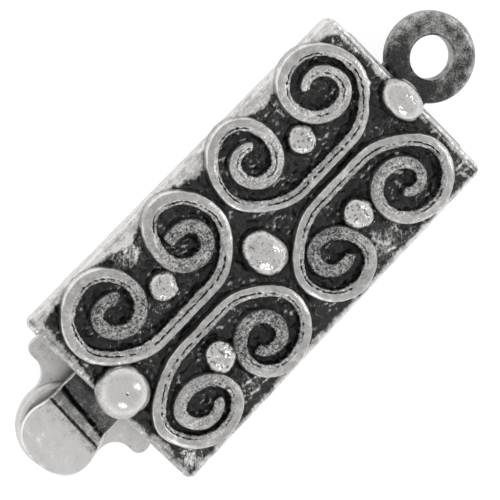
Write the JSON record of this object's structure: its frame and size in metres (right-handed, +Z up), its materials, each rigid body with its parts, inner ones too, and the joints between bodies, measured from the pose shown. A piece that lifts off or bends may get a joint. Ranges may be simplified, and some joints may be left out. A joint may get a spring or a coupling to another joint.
{
  "type": "one-strand box clasp",
  "caption": "Closed box clasp: a scroll-and-granule cover on a narrow box, a sprung tongue with a thumb tab, and a ring at each end for a strand.",
  "frame": {"origin": "centre of the box's flat underside, on which the clasp lies with its ornament up", "axes": "+X along the clasp to the box's ring, -X to the thumb tab and the tongue's ring, +Y across the clasp to its left looking along +X, +Z up through the ornament"},
  "size_m": [0.0269, 0.0101, 0.0053],
  "materials": {
    "oxidised_silver": "blackened silver, worn grey along its edges",
    "antiqued_silver": "cast silver with blackened recesses and hand-polished high points",
    "bright_silver": "satin silver, unblackened"
  },
  "bodies": {
    "box": {"box_shell": "oxidised_silver", "scroll_cover": "antiqued_silver"},
    "tongue": {"tongue_plate": "bright_silver"},
    "spring": {"spring_leaf": "bright_silver"}
  },
  "joints": [
    {"name": "tongue_slide", "type": "slide", "parent": "box", "child": "tongue", "axis": [-1, 0, 0], "range_m": [0, 0.018]},
    {"name": "leaf_press", "type": "hinge", "parent": "tongue", "child": "spring", "pos_m": [0.0076, 0, 0.0012], "axis": [0, 1, 0], "range_deg": [-0.9, 1.2], "stiffness_Nm_per_rad": 0.1, "springref_deg": 2.29}
  ]
}
